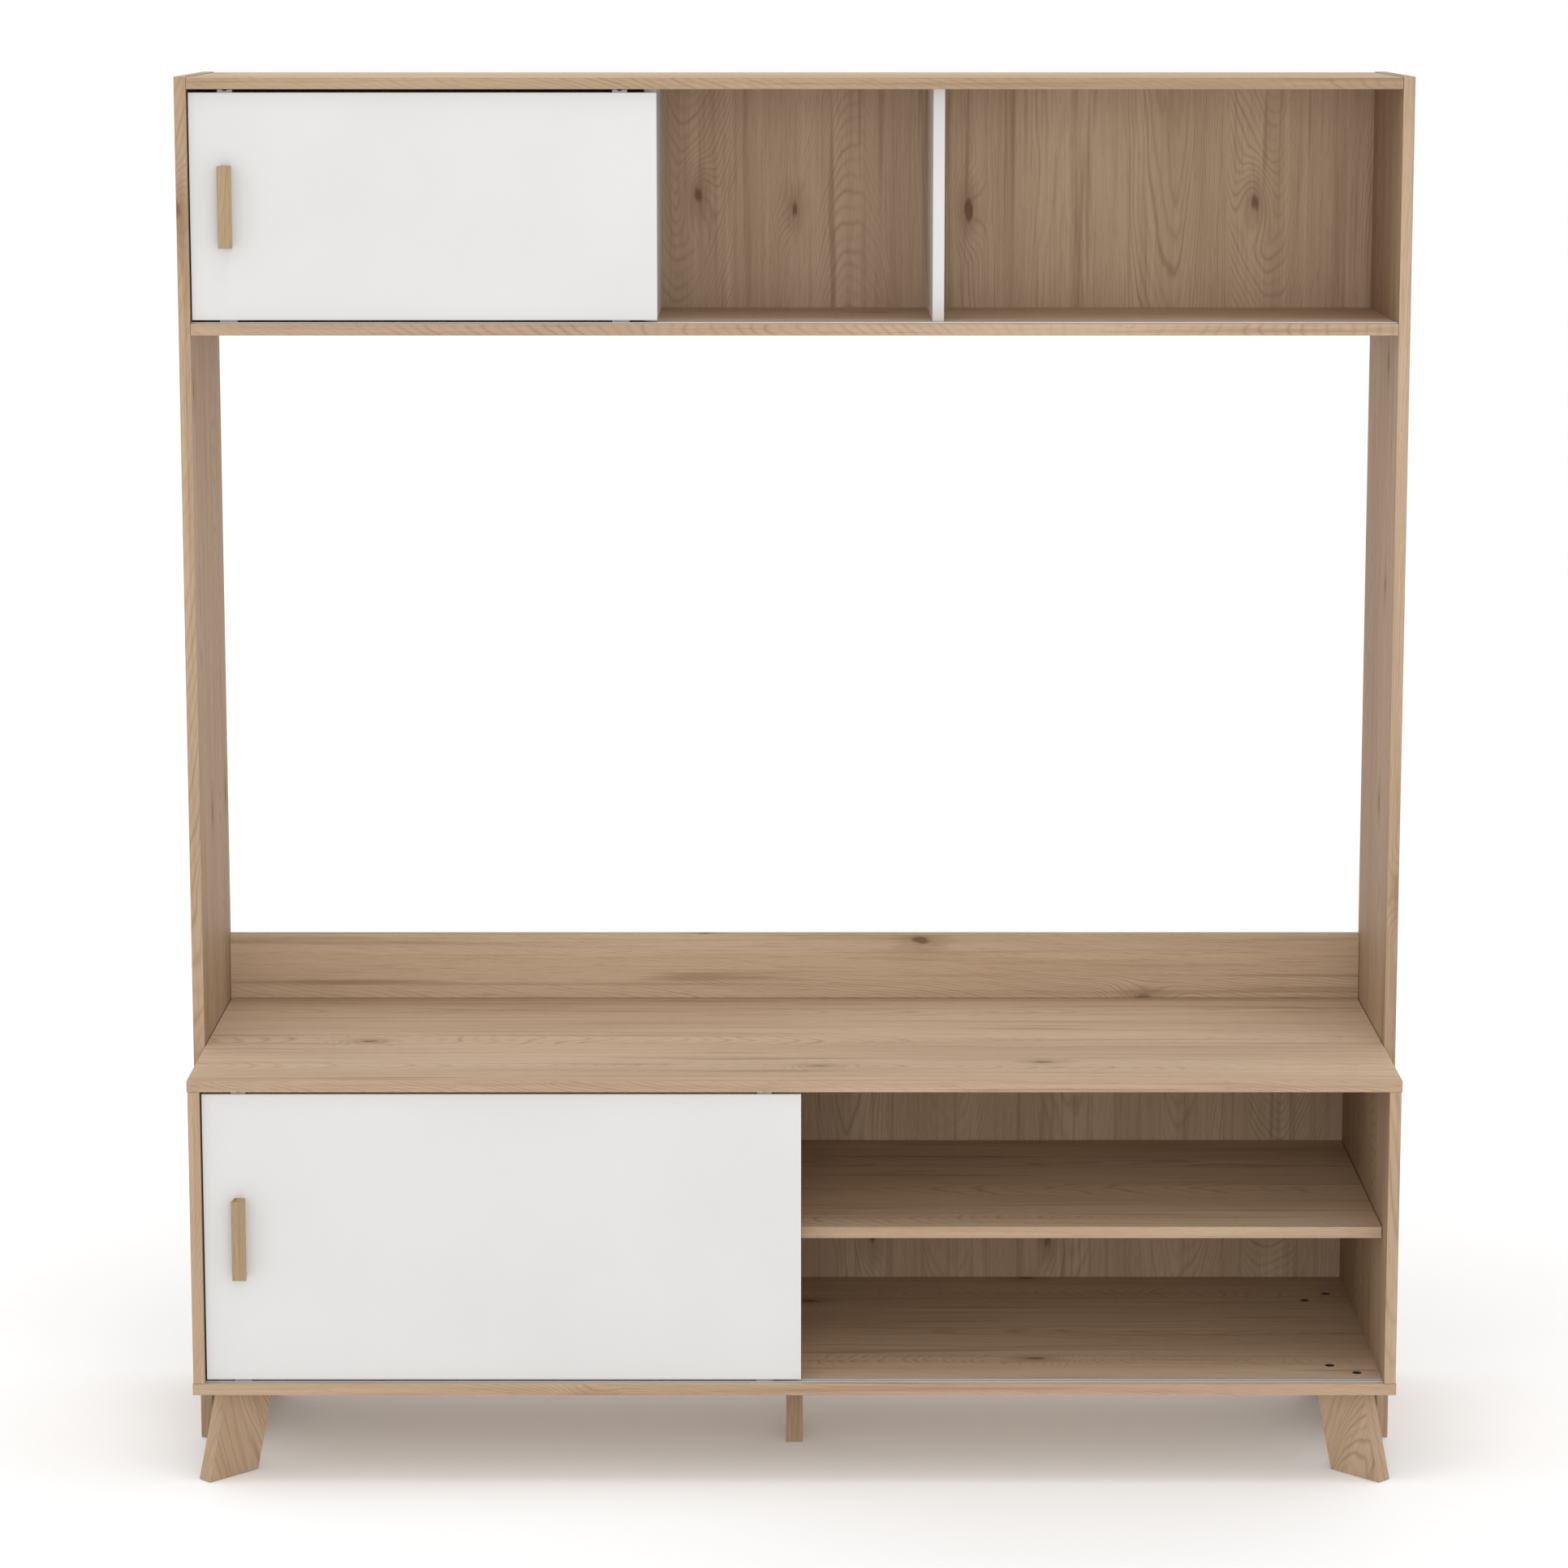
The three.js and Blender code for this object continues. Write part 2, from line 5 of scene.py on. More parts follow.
import bpy
import numpy as np
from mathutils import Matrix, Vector


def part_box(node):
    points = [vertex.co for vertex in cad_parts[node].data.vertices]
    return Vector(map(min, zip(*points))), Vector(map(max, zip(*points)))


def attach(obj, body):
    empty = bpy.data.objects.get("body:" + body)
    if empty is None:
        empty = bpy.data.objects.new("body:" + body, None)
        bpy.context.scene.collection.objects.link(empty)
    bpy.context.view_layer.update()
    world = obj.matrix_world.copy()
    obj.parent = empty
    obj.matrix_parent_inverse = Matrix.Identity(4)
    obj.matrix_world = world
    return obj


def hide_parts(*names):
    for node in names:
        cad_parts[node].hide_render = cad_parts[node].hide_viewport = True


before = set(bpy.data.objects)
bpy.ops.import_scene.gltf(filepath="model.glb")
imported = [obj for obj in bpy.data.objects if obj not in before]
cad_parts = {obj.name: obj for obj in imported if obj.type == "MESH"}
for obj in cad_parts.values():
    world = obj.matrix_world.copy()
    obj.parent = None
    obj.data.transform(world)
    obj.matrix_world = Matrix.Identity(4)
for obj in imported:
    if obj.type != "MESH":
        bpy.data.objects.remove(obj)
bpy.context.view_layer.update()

# ---------------------------------------------------------------- sizes, in metres
SEAT = 0.0003  # gap where two pieces touch
HOLE_GAP = 0.0003  # round a screw or a pin in its hole
BIG = 0.05  # how far a cutter runs past a surface

BOARD_EDGE = 0.0006  # width of the rounding on a board's edges; below, on the other pieces
THIN_EDGE = 0.0003
LEG_EDGE = 0.0007
HANDLE_EDGE = 0.0007
METAL_EDGE = 0.00018
SHELF_PIN_EDGE = 0.0004

CHANNEL_HALF = 0.0033  # half of the groove that a track's channel lies in
TRACK_WALL = 0.001
TRACK_SLOT = 0.004  # width of the slot that the wheels and the guide pins run in

SHANK_RADIUS = 0.003  # the bolts that hold the legs
SCREW_HEAD_HEIGHT = 0.003
HANDLE_SHANK_RADIUS = 0.002
HANDLE_HEAD_HEIGHT = 0.0024

FITTING_BLOCK = 0.009  # thickness of the block that is let into a door's edge
PIN_SLOT = 0.0038
AXLE_RADIUS = 0.0016

ROUND = 40  # sides of a round piece
WHEEL_SIDES = 64
CAP_SIDES = 32
NAIL_SIDES = 10
BEVEL_ANGLE = 30  # in degrees: an edge sharper than this is rounded
SMOOTH_ANGLE = 40  # in degrees: an edge softer than this is shaded smooth
BROAD = 0.0003  # in square metres: a face over this area stays flat shaded
FACING = 0.75  # a normal's share along an axis from which its face counts as facing that way
SQUARE_ON = 0.9  # the same, for a face that looks straight along the axis
SIDEWAYS = 0.3  # the most of a normal along a direction for its face to run along it
STEEP = 0.5  # the most of a normal along Z for its face to count as upright
X, Y, Z = Vector((1, 0, 0)), Vector((0, 1, 0)), Vector((0, 0, 1))


# ---------------------------------------------------------------- materials
class Value:
    """A number on its way through a material. Each operator adds the Math node that does it."""

    def __init__(self, sheet, socket):
        self.sheet, self.socket = sheet, socket

    def _math(self, operation, *values):
        inputs = {i: v.socket if isinstance(v, Value) else v for i, v in enumerate(values)}
        node = self.sheet.node("ShaderNodeMath", {"operation": operation}, inputs)
        return Value(self.sheet, node.outputs[0])

    def __add__(self, other):
        return self._math("ADD", self, other)

    __radd__ = __add__

    def __sub__(self, other):
        return self._math("SUBTRACT", self, other)

    def __rsub__(self, other):
        return self._math("SUBTRACT", other, self)

    def __mul__(self, other):
        return self._math("MULTIPLY", self, other)

    __rmul__ = __mul__

    def __pow__(self, other):
        return self._math("POWER", self, other)

    def sine(self):
        return self._math("SINE", self)

    def floor(self):
        return self._math("FLOOR", self)

    def step(self, low, high):
        """0 at low and 1 at high, with soft ends. low may be the larger one."""
        settings = {"interpolation_type": "SMOOTHSTEP"}
        inputs = {"Value": self.socket, "From Min": min(low, high), "From Max": max(low, high)}
        inputs |= {"To Min": float(low > high), "To Max": float(low < high)}
        node = self.sheet.node("ShaderNodeMapRange", settings, inputs)
        return Value(self.sheet, node.outputs[0])


class Finish:
    """One material, with a Principled shader at its end."""

    def __init__(self, name, **constants):
        self.material = bpy.data.materials.new(name)
        self.material.use_nodes = True
        self.tree = self.material.node_tree
        self.shader = self.tree.nodes["Principled BSDF"]
        for socket, value in constants.items():
            self.shader.inputs[socket.replace("_", " ")].default_value = value

    def node(self, kind, settings=None, inputs=None):
        made = self.tree.nodes.new(kind)
        for name, value in (settings or {}).items():
            setattr(made, name, value)
        for key, value in (inputs or {}).items():
            value = value.socket if isinstance(value, Value) else value
            if isinstance(value, bpy.types.NodeSocket):
                self.tree.links.new(value, made.inputs[key])
            else:
                made.inputs[key].default_value = value
        return made

    def place(self):
        """Where a point of the piece lies."""
        return self.node("ShaderNodeTexCoord").outputs["Object"]

    def stretched(self, vector, scale, shift=(0, 0, 0)):
        """The vector, scaled by axis and moved."""
        settings = {"operation": "MULTIPLY_ADD"}
        node = self.node("ShaderNodeVectorMath", settings, {0: vector, 1: scale, 2: shift})
        return node.outputs[0]

    def noise(self, vector, scale=1.0, detail=2.0, roughness=0.5, distortion=0.0):
        inputs = {"Vector": vector, "Scale": scale, "Detail": detail}
        inputs |= {"Roughness": roughness, "Distortion": distortion}
        return Value(self, self.node("ShaderNodeTexNoise", None, inputs).outputs["Fac"])

    def cells(self, vector, settings=None, randomness=1.0):
        """Distance to the nearest cell point, and a number that each cell has of its own."""
        inputs = {"Vector": vector, "Scale": 1.0, "Randomness": randomness}
        node = self.node("ShaderNodeTexVoronoi", settings, inputs)
        split = self.node("ShaderNodeSeparateColor", None, {"Color": node.outputs["Color"]})
        return Value(self, node.outputs["Distance"]), Value(self, split.outputs[0])

    def random(self, number):
        """A number from 0 to 1 that belongs to the whole number given."""
        settings = {"noise_dimensions": "1D"}
        return Value(self, self.node("ShaderNodeTexWhiteNoise", settings, {"W": number}).outputs[0])

    def blend(self, share, first, second):
        """The first colour, with a share of the second mixed in."""
        settings = {"data_type": "RGBA", "clamp_factor": True}
        first, second = ((*c, 1) if isinstance(c, tuple) else c for c in (first, second))
        node = self.node("ShaderNodeMix", settings, {0: share, 6: first, 7: second})
        return node.outputs[2]

    def colour(self, socket):
        self.tree.links.new(socket, self.shader.inputs["Base Color"])

    def roughness(self, value):
        self.tree.links.new(value.socket, self.shader.inputs["Roughness"])

    def relief(self, height, distance):
        inputs = {"Height": height, "Distance": distance, "Strength": 1.0}
        bump = self.node("ShaderNodeBump", None, inputs)
        self.tree.links.new(bump.outputs[0], self.shader.inputs["Normal"])


PLANK_WIDTH = 0.155  # the print joins strips of this width side by side
RING_STEP = 0.014  # the closest that growth rings follow each other on a strip's middle line
RING_SPREAD = 2300.0  # how much closer they get towards the strip's sides
RING_BEND, RING_SHAKE, RING_KNOT = 7.5, 0.5, 5.0  # rings that each shifts a line by, in full
KNOT_CELLS = (3.4, 8.0, 1.0)  # cells to a metre along and across, each with a knot or none
KNOT_REACH, KNOT_HALO, KNOT_HEART = 0.27, 0.19, 0.056  # radius in cells, for rings, stain and core
KNOT_LUCK = 0.80  # share of the cells that hold no knot


def tinted(colour, tone):
    """The colour, with each of its three parts scaled."""
    return tuple(a * b for a, b in zip(colour, tone))


def wood_print(name, tone=(1, 1, 1), figure=1.0):
    """Printed wood on melamine board: x of the grain attribute runs along the grain, y across."""
    f = Finish(name, Specular_IOR_Level=0.09)
    grain = f.node("ShaderNodeAttribute", {"attribute_name": "grain"}).outputs["Vector"]
    split = f.node("ShaderNodeSeparateXYZ", None, {0: grain})
    along, across = Value(f, split.outputs[0]), Value(f, split.outputs[1])
    waver = f.noise(f.stretched(grain, (2.2, 3.0, 1.0)), detail=2.0) - 0.5
    strip = across * (1 / PLANK_WIDTH) + waver * 0.35 + Value(f, split.outputs[2]) * 0.31
    number = strip.floor()
    chance = f.random(number)
    side = strip - number - 0.5 + (chance - 0.5) * 0.5

    shake = f.noise(f.stretched(grain, (22.0, 95.0, 1.0)), detail=2.0, roughness=0.6) - 0.5
    flat = {"voronoi_dimensions": "2D"}
    spot, luck = f.cells(f.stretched(grain, KNOT_CELLS, (0.3, 0.4, 0)), flat, 0.45)
    knotted = luck.step(KNOT_LUCK, KNOT_LUCK + 0.02)
    knot = spot.step(KNOT_REACH, 0.0) * knotted

    bend = f.noise(f.stretched(grain, (2.4, 15.0, 1.0)), detail=2.0, roughness=0.5) - 0.5
    field = side * side * (RING_SPREAD * PLANK_WIDTH**2) + along * (chance - 0.5) * (2 / RING_STEP)
    field = field + bend * RING_BEND + shake * RING_SHAKE + knot * RING_KNOT
    wave = (field * (2 * math.pi)).sine() * 0.5 + 0.5
    ring_line = wave**5 * (f.random(field.floor()) * 0.85 + 0.15)
    faint = f.noise(f.stretched(grain, (1.6, 12.0, 1.0), (4, 7, 0)), detail=2.0).step(0.34, 0.62)

    long_streak = f.noise(f.stretched(grain, (1.6, 95.0, 1.0)), detail=4.0, roughness=0.62)
    fine_streak = f.noise(f.stretched(grain, (5.0, 420.0, 1.0), (0, 0, 4)), detail=3.0, roughness=0.6)
    dash = f.noise(f.stretched(grain, (34.0, 1050.0, 1.0), (0, 0, 9)), detail=1.0).step(0.58, 0.70)
    cloud = f.noise(f.stretched(grain, (0.9, 7.0, 1.0), (5, 2, 0)), detail=3.0, roughness=0.5)
    dark_vein = f.noise(f.stretched(grain, (2.4, 60.0, 1.0), (8, 1, 2)), detail=2.0).step(0.60, 0.74)

    pale = tinted((0.582, 0.440, 0.310), tone)
    tan = tinted((0.466, 0.338, 0.226), tone)
    rose = tinted((0.486, 0.342, 0.240), tone)
    line = tinted((0.270, 0.172, 0.098), tone)
    core = (0.125, 0.070, 0.036)
    body = f.blend(cloud.step(0.34, 0.66), pale, tan)
    body = f.blend(chance * 0.50, body, rose)
    body = f.blend(long_streak.step(0.50, 0.76) * 0.55, body, line)
    body = f.blend(long_streak.step(0.46, 0.24) * 0.60, body, pale)
    body = f.blend((ring_line * 0.46 + wave * 0.09) * (faint * 0.75 + 0.25) * figure, body, line)
    body = f.blend(fine_streak.step(0.50, 0.80) * 0.36 + dash * 0.24, body, line)
    body = f.blend(dark_vein * 0.55, body, line)
    ragged = spot + shake * 0.12
    halo = ragged.step(KNOT_HALO, 0.03) * knotted
    heart = ragged.step(KNOT_HEART, 0.018) * knotted
    body = f.blend(halo * 0.45, body, line)
    body = f.blend(heart * 0.75, body, core)
    f.colour(body)
    f.roughness(fine_streak * 0.14 + dash * 0.10 + 0.50)
    f.relief(fine_streak * 0.5 + long_streak * 0.3 - dash * 0.8 - heart * 0.5, 0.00008)
    return f.material


def white_decor():
    """White melamine: a fine even stipple with a very slight drift in tone."""
    f = Finish("white_decor", Specular_IOR_Level=0.25)
    place = f.place()
    stipple = f.noise(place, scale=1400, detail=2.0)
    drift = f.noise(place, scale=5, detail=3.0)
    f.colour(f.blend(drift.step(0.3, 0.7), (0.660, 0.655, 0.644), (0.642, 0.636, 0.625)))
    f.roughness(stipple * 0.10 + drift * 0.06 + 0.50)
    f.relief(stipple, 0.00004)
    return f.material


def raw_hardboard():
    """The unfaced side of a thin back: pressed brown fibres."""
    f = Finish("raw_hardboard", Specular_IOR_Level=0.25)
    place = f.place()
    fibre = f.noise(f.stretched(place, (260, 1, 900)), detail=4.0, roughness=0.7, distortion=1.5)
    cross = f.noise(f.stretched(place, (900, 1, 240)), detail=4.0, roughness=0.7, distortion=1.5)
    cloud = f.noise(place, scale=3, detail=5.0, roughness=0.65)
    body = f.blend(cloud.step(0.2, 0.8), (0.310, 0.200, 0.115), (0.270, 0.170, 0.094))
    body = f.blend(fibre.step(0.48, 0.70) * 0.6, body, (0.44, 0.30, 0.18))
    f.colour(f.blend(cross.step(0.52, 0.75) * 0.6, body, (0.17, 0.10, 0.052)))
    f.roughness(cloud * 0.1 + fibre * 0.1 + 0.6)
    f.relief(fibre + cross, 0.00012)
    return f.material


def raw_particle_board():
    """The bare rear edge of a board: pale pressed chips of many sizes."""
    f = Finish("raw_particle_board", Specular_IOR_Level=0.2)
    place = f.place()
    gap, chance = f.cells(f.stretched(place, (420, 420, 900)))
    small = f.noise(place, scale=1100, detail=3.0, roughness=0.7)
    body = f.blend(chance, (0.520, 0.380, 0.225), (0.330, 0.215, 0.115))
    body = f.blend(small.step(0.5, 0.75) * 0.5, body, (0.62, 0.48, 0.31))
    f.colour(f.blend(gap.step(0.35, 0.7) * 0.6, body, (0.16, 0.095, 0.045)))
    f.roughness(small * 0.2 + 0.7)
    f.relief(small - gap, 0.0003)
    return f.material


def anodised_aluminium():
    """Satin anodised track: fine drawing lines along its length."""
    f = Finish("anodised_aluminium", Metallic=0.7)
    place = f.place()
    drawn = f.noise(f.stretched(place, (3, 2600, 2600)), detail=3.0, roughness=0.6)
    drift = f.noise(f.stretched(place, (6, 60, 60)), detail=2.0)
    f.colour(f.blend(drawn, (0.800, 0.800, 0.805), (0.680, 0.680, 0.690)))
    f.roughness(drawn * 0.16 + drift * 0.08 + 0.40)
    f.relief(drawn, 0.00002)
    return f.material


def moulded_plastic(name, light, dark, rough):
    """Injection moulded fitting: a fine spark-eroded texture with faint flow marks."""
    f = Finish(name, Specular_IOR_Level=0.45)
    place = f.place()
    spark = f.noise(place, scale=2600, detail=2.0)
    flow = f.noise(f.stretched(place, (60, 60, 160)), detail=3.0)
    f.colour(f.blend(flow.step(0.3, 0.7) * 0.8 + spark * 0.2, light, dark))
    f.roughness(spark * 0.14 + flow * 0.06 + rough)
    f.relief(spark, 0.00003)
    return f.material


def plated_steel(name, light, dark, rough):
    """Fasteners: turned metal with a slightly cloudy plating."""
    f = Finish(name, Metallic=1.0)
    place = f.place()
    cloud = f.noise(place, scale=420, detail=4.0, roughness=0.6)
    turned = f.noise(f.stretched(place, (900, 900, 5200)), detail=1.0)
    f.colour(f.blend(cloud.step(0.3, 0.7), light, dark))
    f.roughness(cloud * 0.22 + turned * 0.08 + rough)
    f.relief(turned + cloud, 0.00002)
    return f.material


WALNUT = wood_print("walnut_decor")
# A darker copy of the same print for the edge bands and the legs: painted shade, standing in for the
# dimmer light on them.
SHADED_WALNUT = wood_print("deep_walnut_decor", tone=(0.90, 0.88, 0.86))
# A still darker copy of the print for the uprights, the bench's sides and the hutch top's edges:
# painted shade for the dimmer light on these faces.
SHADED_SIDE_WALNUT = wood_print("side_walnut_decor", tone=(0.78, 0.745, 0.70))
# A lighter copy of the print for the bench's bottom and shelf: painted light that lifts these boards
# out of the shade inside the bench.
LIT_SHELF_WALNUT = wood_print("shelf_walnut_decor", tone=(1.09, 1.12, 1.13))
HANDLE_WOOD = wood_print("handle_wood", tone=(0.72, 0.70, 0.60), figure=0.7)
WHITE = white_decor()
HARDBOARD = raw_hardboard()
CHIPS = raw_particle_board()
ALUMINIUM = anodised_aluminium()
GREY = moulded_plastic("grey_plastic", (0.300, 0.300, 0.335), (0.250, 0.250, 0.285), 0.36)
BLACK = moulded_plastic("black_plastic", (0.020, 0.020, 0.022), (0.012, 0.012, 0.014), 0.34)
CAP_TAN = moulded_plastic("tan_plastic", (0.560, 0.300, 0.200), (0.500, 0.270, 0.180), 0.40)
ZINC = plated_steel("zinc_plated_steel", (0.66, 0.66, 0.64), (0.52, 0.53, 0.54), 0.24)
BURNISHED = plated_steel("burnished_steel", (0.090, 0.085, 0.080), (0.045, 0.043, 0.042), 0.30)


# ---------------------------------------------------------------- modelling
def clear_selection():
    bpy.ops.object.select_all(action="DESELECT")


def take(piece):
    """Makes the piece the selected and active one."""
    clear_selection()
    piece.select_set(True)
    bpy.context.view_layer.objects.active = piece


def settle(name):
    """Names the new primitive and puts its place in its mesh."""
    piece = bpy.context.object
    piece.name = piece.data.name = name
    bpy.ops.object.transform_apply(location=True, rotation=True, scale=True)
    return piece


def block(low, high, name="cutter"):
    """A box between its lowest and its highest corner."""
    clear_selection()
    low, high = Vector(low), Vector(high)
    bpy.ops.mesh.primitive_cube_add(size=1, location=(low + high) / 2)
    bpy.context.object.scale = high - low
    return settle(name)


def rod(radius, start, end, name="cutter", sides=ROUND):
    """A round rod between two points on a line along X, Y or Z."""
    clear_selection()
    start, end = Vector(start), Vector(end)
    turn = Z.rotation_difference((end - start).normalized()).to_euler()
    bpy.ops.mesh.primitive_cylinder_add(
        radius=radius,
        depth=(end - start).length,
        vertices=sides,
        location=(start + end) / 2,
        rotation=turn,
    )
    return settle(name)


def select_in_edit(piece, kind, wanted):
    """Opens the piece in edit mode with only the wanted vertices or faces selected."""
    take(piece)
    bpy.ops.object.mode_set(mode="EDIT")
    bpy.ops.mesh.select_mode(type=kind)
    bpy.ops.mesh.select_all(action="DESELECT")
    bpy.ops.object.mode_set(mode="OBJECT")
    items = piece.data.polygons if kind == "FACE" else piece.data.vertices
    for item in items:
        item.select = bool(wanted(item))
    bpy.ops.object.mode_set(mode="EDIT")


def pull(way):
    """Extrudes the selected face by a vector."""
    bpy.ops.mesh.extrude_region_move(TRANSFORM_OT_translate={"value": way})


def squeeze(scale, centre):
    """Scales what is selected about a point."""
    bpy.ops.transform.resize(value=scale, center_override=Vector(centre))


def leave_edit():
    bpy.ops.object.mode_set(mode="OBJECT")


def combine(piece, tools, operation):
    """Joins the tools to the piece, or cuts them out of it, and removes them."""
    for tool in tools:
        take(piece)
        modifier = piece.modifiers.new("combine", "BOOLEAN")
        modifier.operation = operation
        modifier.solver = "EXACT"
        modifier.object = tool
        bpy.ops.object.modifier_apply(modifier=modifier.name)
        bpy.data.objects.remove(tool, do_unlink=True)
    return piece


def cut(piece, *tools):
    return combine(piece, tools, "DIFFERENCE")


def join(piece, *tools):
    return combine(piece, tools, "UNION")


def round_edges(piece, width, segments=2):
    """Rounds every sharp edge, and shades the soft ones smooth."""
    take(piece)
    modifier = piece.modifiers.new("round", "BEVEL")
    modifier.width = width
    modifier.segments = segments
    modifier.limit_method = "ANGLE"
    modifier.angle_limit = math.radians(BEVEL_ANGLE)
    bpy.ops.object.modifier_apply(modifier=modifier.name)
    bpy.ops.object.shade_smooth_by_angle(angle=math.radians(SMOOTH_ANGLE))
    for face in piece.data.polygons:
        if face.area > BROAD:
            face.use_smooth = False


SHEET_STEP = 1.7  # between the sheet numbers of a piece's sides
SHEET_SHIFT = 3.0  # how far along its grain each next sheet starts


def seed_of(name):
    """A number of its own for each piece, the same in each run."""
    return sum((i + 3) * ord(c) for i, c in enumerate(name)) % 997 * 0.37


def lay_grain(piece, along, turn=0.0, away=None):
    """Gives each corner its place on the printed sheet: along the grain, across it, and a sheet
    of its own for each side of the piece. turn, in degrees, turns the grain back from the flat
    direction away, on the faces that run along it."""
    mesh = piece.data
    tilt_most = math.radians(turn)
    low = Vector(np.min([v.co for v in mesh.vertices], axis=0))
    size = Vector(np.max([v.co for v in mesh.vertices], axis=0)) - low
    attribute = mesh.attributes.new("grain", "FLOAT_VECTOR", "CORNER")
    seed = seed_of(piece.name)
    for face in mesh.polygons:
        normal = face.normal
        run = along
        if abs(normal @ along) > FACING:
            run = max((a for a in (X, Y, Z) if abs(normal @ a) < FACING), key=lambda a: size @ a)
        across = normal.cross(run).normalized()
        tilt = 0.0
        if away and abs(normal @ away) < SIDEWAYS and abs(normal.z) < STEEP:
            tilt = math.copysign(tilt_most, across @ away)
        cosine, sine = math.cos(tilt), math.sin(tilt)
        side = round(normal.x * 3 + normal.y * 5 + normal.z * 7)  # differs on each of six sides
        for corner in face.loop_indices:
            p = mesh.vertices[mesh.loops[corner].vertex_index].co - low
            u, v = p @ run, p @ across
            sheet = seed + side * SHEET_STEP
            attribute.data[corner].vector = (
                u * cosine - v * sine + sheet * SHEET_SHIFT,
                u * sine + v * cosine,
                sheet,
            )


def paint(piece, *materials, choose=None):
    """Gives the piece its materials. choose(face) tells which one a face takes."""
    for material in materials:
        piece.data.materials.append(material)
    if choose:
        for face in piece.data.polygons:
            face.material_index = choose(face)


def fit_in(piece, body, slot, *nodes):
    """The piece moves with the body and stands for the CAD nodes. slot is not used."""
    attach(piece, body)
    if nodes:
        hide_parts(*nodes)


def middle(node):
    """The middle of a CAD node's box."""
    low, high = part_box(node)
    return (low + high) / 2


# ---------------------------------------------------------------- boards
def channel_cutter(track, up):
    """The groove in a board that a track's channel lies in. up: the slot opens upwards."""
    low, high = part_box(track)
    y = middle(track).y
    bottom, top = (low.z - SEAT, high.z + BIG) if up else (low.z - BIG, high.z + SEAT)
    return block((low.x - SEAT, y - CHANNEL_HALF, bottom), (high.x + SEAT, y + CHANNEL_HALF, top))


def screw_cutters(node, shank_to):
    """Clearance for an upright screw: its shank down to shank_to, and its sunk head."""
    low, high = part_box(node)
    x, y = middle(node).xy
    head = (high.x - low.x) / 2 + HOLE_GAP
    seat = high.z - SCREW_HEAD_HEIGHT - SEAT
    return [
        rod(SHANK_RADIUS + HOLE_GAP, (x, y, shank_to), (x, y, high.z + BIG)),
        rod(head, (x, y, seat), (x, y, high.z + BIG)),
    ]


LEGS = ["leg_front_left", "leg_front_right", "leg_rear_left", "leg_rear_right"]
LEG_SCREWS = [f"{leg}_screw_{i}" for leg in LEGS for i in (1, 2)]


def board(node, along, cutters=(), face=WALNUT, edge=SHADED_WALNUT, slot="wood_decor",
          bare_rear=True):
    """A board at a CAD node's place, with rounded edge bands and its grooves and holes. along is
    the way its grain runs, and bare_rear leaves the rear edge without a band."""
    piece = block(*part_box(node), name=node + "_board")
    cut(piece, *cutters)
    round_edges(piece, BOARD_EDGE)
    lay_grain(piece, along)
    size = Vector(np.ptp([v.co for v in piece.data.vertices], axis=0))
    flat = min((X, Y, Z), key=lambda axis: size @ axis)

    def choose(polygon):
        if abs(polygon.normal @ flat) > FACING:
            return 0
        return 2 if bare_rear and polygon.normal.y > SQUARE_ON else 1

    paint(piece, face, edge, CHIPS, choose=choose)
    fit_in(piece, "cabinet", slot, node)


PINS = [f"shelf_pin_{row}_{side}" for row in ("front", "rear") for side in ("left", "right")]


def pin_cutters(face_x):
    """Holes for the shelf pins that go through a board's face at face_x."""
    holes = []
    for pin in PINS:
        low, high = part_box(pin)
        if low.x < face_x < high.x:
            y, z = middle(pin).yz
            radius = (high.z - low.z) / 2 + HOLE_GAP
            holes.append(rod(radius, (low.x - HOLE_GAP, y, z), (high.x + HOLE_GAP, y, z)))
    return holes


def boards():
    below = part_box("bench_bottom")[0].z - BIG
    holes = [cutter for screw in LEG_SCREWS for cutter in screw_cutters(screw, below)]
    channel = channel_cutter("bench_track_bottom", True)
    board("bench_bottom", X, [channel, *holes], face=LIT_SHELF_WALNUT)
    board("bench_top", X, [channel_cutter("bench_track_top", False)])
    board("bench_shelf", X, face=LIT_SHELF_WALNUT)
    board("bench_side_left", Z, face=SHADED_SIDE_WALNUT)
    side_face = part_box("bench_side_right")[0].x
    board("bench_side_right", Z, pin_cutters(side_face), face=SHADED_SIDE_WALNUT)
    divider_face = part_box("bench_divider")[1].x
    board("bench_divider", Z, pin_cutters(divider_face))
    for side in ("left", "right"):
        board(f"upright_{side}", Z, face=SHADED_SIDE_WALNUT)
        board(f"hutch_divider_{side}", Z, face=WHITE, edge=WHITE, slot="white_decor")
    board("rear_rail", X, bare_rear=False)
    board("hutch_bottom", X, [channel_cutter("hutch_track_bottom", True)])
    board("hutch_top", X, [channel_cutter("hutch_track_top", False)], edge=SHADED_SIDE_WALNUT)


NAIL_RADIUS = 0.0019
NAIL_STEP = 0.12
NAIL_EDGE = 0.0075  # from the panel's edge
NAIL_DIMPLE = 0.0005  # depth of the dent that each nail lies in
NAIL_SUNK = 0.00005  # from a nail's head to the panel's rear
DIMPLE_RISE = 0.001  # how far a dent's cutter stands out behind the panel
DIMPLE_SHARE = 1.15  # the dent's radius over the nail's


def nail_places(low, high, inner_boards):
    """Where the nails go: all round the panel, and up each inner board."""
    columns = max(2, round((high.x - low.x) / NAIL_STEP))
    rows = max(2, round((high.z - low.z) / NAIL_STEP))
    across = np.linspace(low.x + NAIL_EDGE, high.x - NAIL_EDGE, columns)
    upwards = np.linspace(low.z + NAIL_EDGE, high.z - NAIL_EDGE, rows)
    places = []
    for x in across:
        places += [(x, upwards[0]), (x, upwards[-1])]
    for x in [across[0], across[-1], *inner_boards]:
        places += [(x, z) for z in upwards[1:-1]]
    return places


